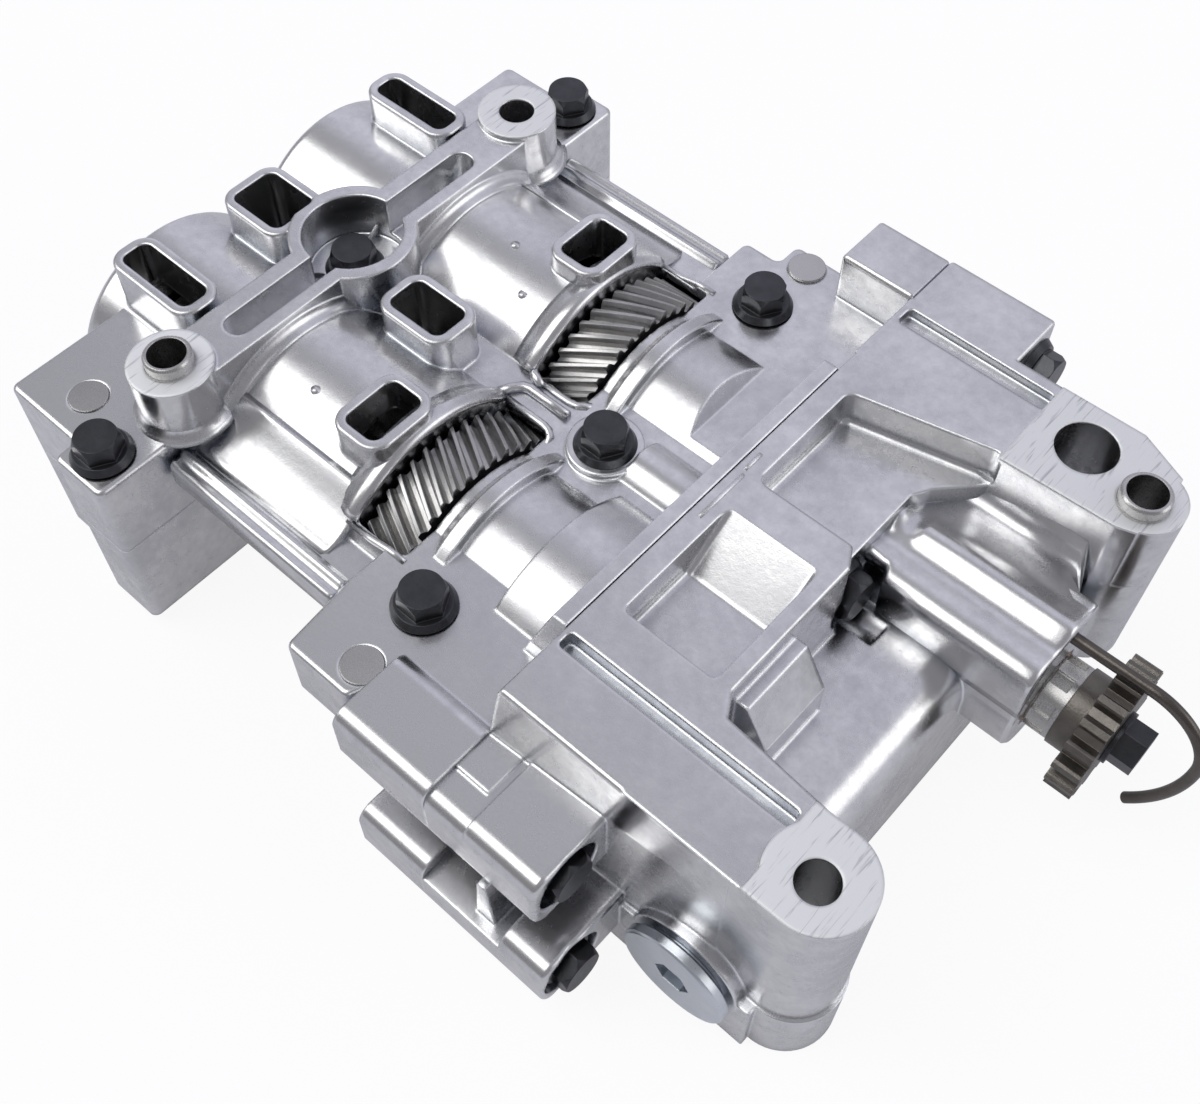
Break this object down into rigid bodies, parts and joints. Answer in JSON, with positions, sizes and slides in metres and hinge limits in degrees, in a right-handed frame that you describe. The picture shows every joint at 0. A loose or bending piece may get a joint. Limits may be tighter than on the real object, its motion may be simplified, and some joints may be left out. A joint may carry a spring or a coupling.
{
  "type": "balance shaft module with oil pump",
  "caption": "Die-cast balance shaft housing with vent slots and open gear windows, joined to an oil pump with a chain sprocket, relief valve plug and lock pin.",
  "frame": {"origin": "centre of the rectangle of the four mounting holes, on the plane of the machined mounting pads", "axes": "+X along both shafts towards the drive sprocket, +Y from the driven shaft towards the drive shaft, +Z out of the mounting pads towards the engine block"},
  "size_m": [0.2684, 0.1819, 0.0732],
  "materials": {
    "casting": "bright die-cast, machined pads",
    "black_bolt": "black phosphate, satin",
    "steel": "ground steel",
    "gear_steel": "cut gear steel, lightly oiled",
    "sintered": "dark sintered metal",
    "zinc": "zinc plated",
    "bronze": "bearing bronze",
    "seal": "soft metal seal ring",
    "spring_wire": "drawn wire"
  },
  "bodies": {
    "module": {"upper_housing": "casting", "lower_housing": "casting", "pump_housing": "casting", "pump_cover": "steel", "cover_screws": "black_bolt", "case_bolts": "black_bolt", "pump_bolts": "black_bolt", "dowel_sleeves": "steel", "casting_dowels": "steel", "shaft_bushes": "bronze", "nose_bush": "bronze", "relief_plug": "zinc", "plug_seal": "seal", "relief_spring": "spring_wire"},
    "drive_train": {"drive_shaft": "steel", "drive_gear": "gear_steel", "drive_hub": "sintered", "sprocket": "sintered", "sprocket_bolt": "black_bolt"},
    "driven_train": {"driven_shaft": "steel", "driven_gear": "gear_steel", "rotor_key": "steel", "inner_rotor": "sintered"},
    "outer_ring": {"outer_rotor": "sintered"},
    "valve_piston": {"relief_piston": "steel"},
    "wire_pin": {"lock_pin": "sintered"}
  },
  "joints": [
    {"name": "drive_spin", "type": "hinge", "parent": "module", "child": "drive_train", "pos_m": [0, 0.0285, -0.038], "axis": [1, 0, 0], "continuous": true},
    {"name": "driven_spin", "type": "hinge", "parent": "module", "child": "driven_train", "pos_m": [0, -0.0285, -0.038], "axis": [1, 0, 0], "continuous": true},
    {"name": "outer_rotor_spin", "type": "hinge", "parent": "module", "child": "outer_ring", "pos_m": [0.032, -0.0285, -0.0397], "axis": [1, 0, 0], "continuous": true},
    {"name": "relief_slide", "type": "slide", "parent": "module", "child": "valve_piston", "axis": [0, -1, 0], "range_m": [0, 0.006], "stiffness_N_per_m": 1500, "springref_m": -0.004, "deforming": ["relief_spring"]},
    {"name": "lock_pin_slide", "type": "slide", "parent": "module", "child": "wire_pin", "axis": [1, 0, 0], "range_m": [0, 0.04]}
  ],
  "couplings": [
    {"joint": "driven_spin", "follows": "drive_spin", "ratio": -1},
    {"joint": "outer_rotor_spin", "follows": "drive_spin", "ratio": -0.85714}
  ]
}
